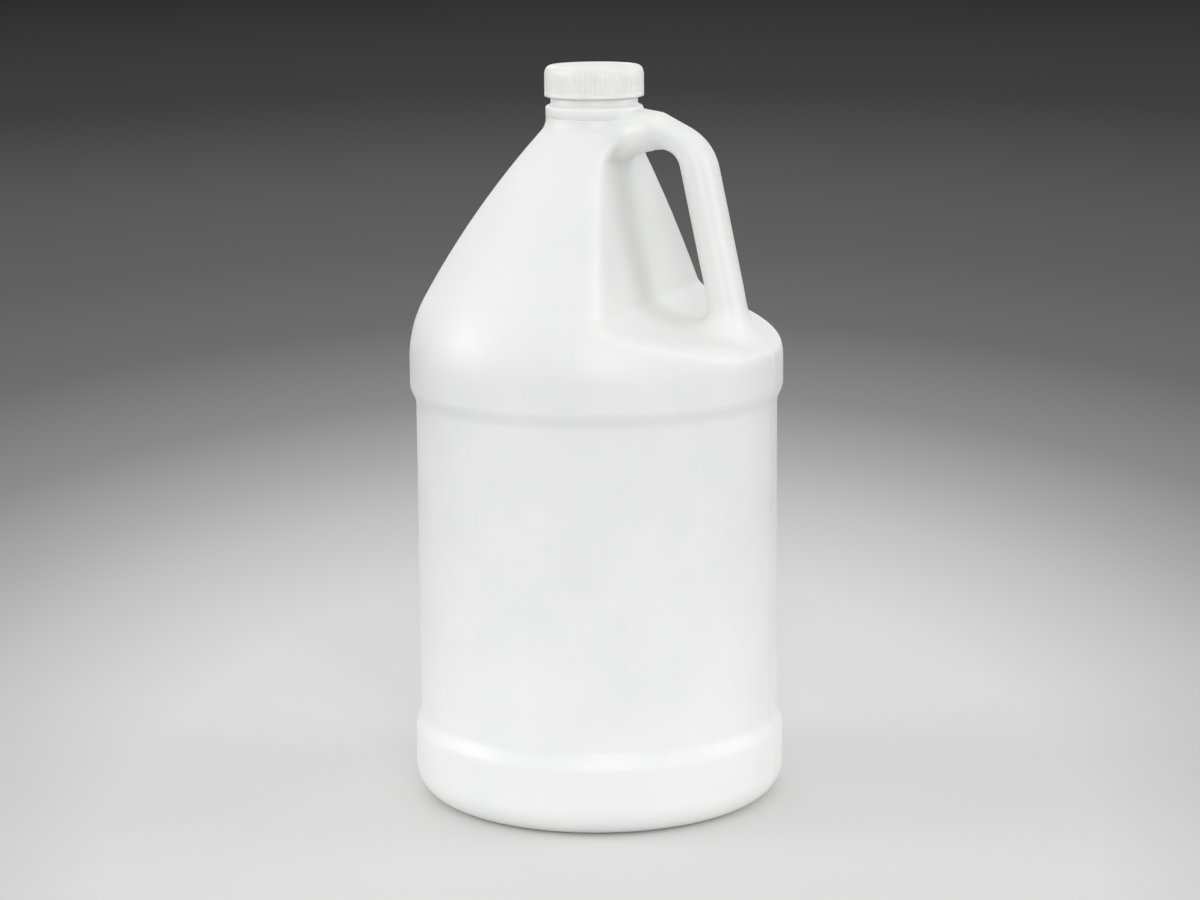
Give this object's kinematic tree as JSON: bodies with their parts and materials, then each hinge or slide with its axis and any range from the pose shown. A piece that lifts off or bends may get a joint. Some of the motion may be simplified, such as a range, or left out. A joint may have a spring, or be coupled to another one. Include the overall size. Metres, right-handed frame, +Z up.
{
  "type": "dispensing jug",
  "caption": "Round milky plastic jug with a domed shoulder, a hollow side handle set in a pocket, a label panel and a ribbed screw cap that turns and rises; it holds and pours liquid.",
  "frame": {"origin": "centre of the base's flat ring, on the neck's axis", "axes": "+Z up along the neck's axis, +X towards the handle"},
  "size_m": [0.152, 0.152, 0.2999],
  "materials": {
    "jug_hdpe": "satin",
    "cap_polypropylene": "satin",
    "liner_foam": "matte"
  },
  "bodies": {
    "jug": {"jug_body": "jug_hdpe"},
    "liner": {"cap_liner": "liner_foam"},
    "cap": {"screw_cap": "cap_polypropylene"}
  },
  "joints": [
    {"name": "cap_lift", "type": "slide", "parent": "jug", "child": "liner", "axis": [0, 0, 1], "range_m": [0, 0.01482]},
    {"name": "cap_turn", "type": "hinge", "parent": "liner", "child": "cap", "pos_m": [0, 0, 0.2938], "axis": [0, 0, 1], "range_deg": [0, 1260]}
  ],
  "couplings": [
    {"joint": "cap_lift", "follows": "cap_turn", "m_per_rad": 0.00067375}
  ]
}
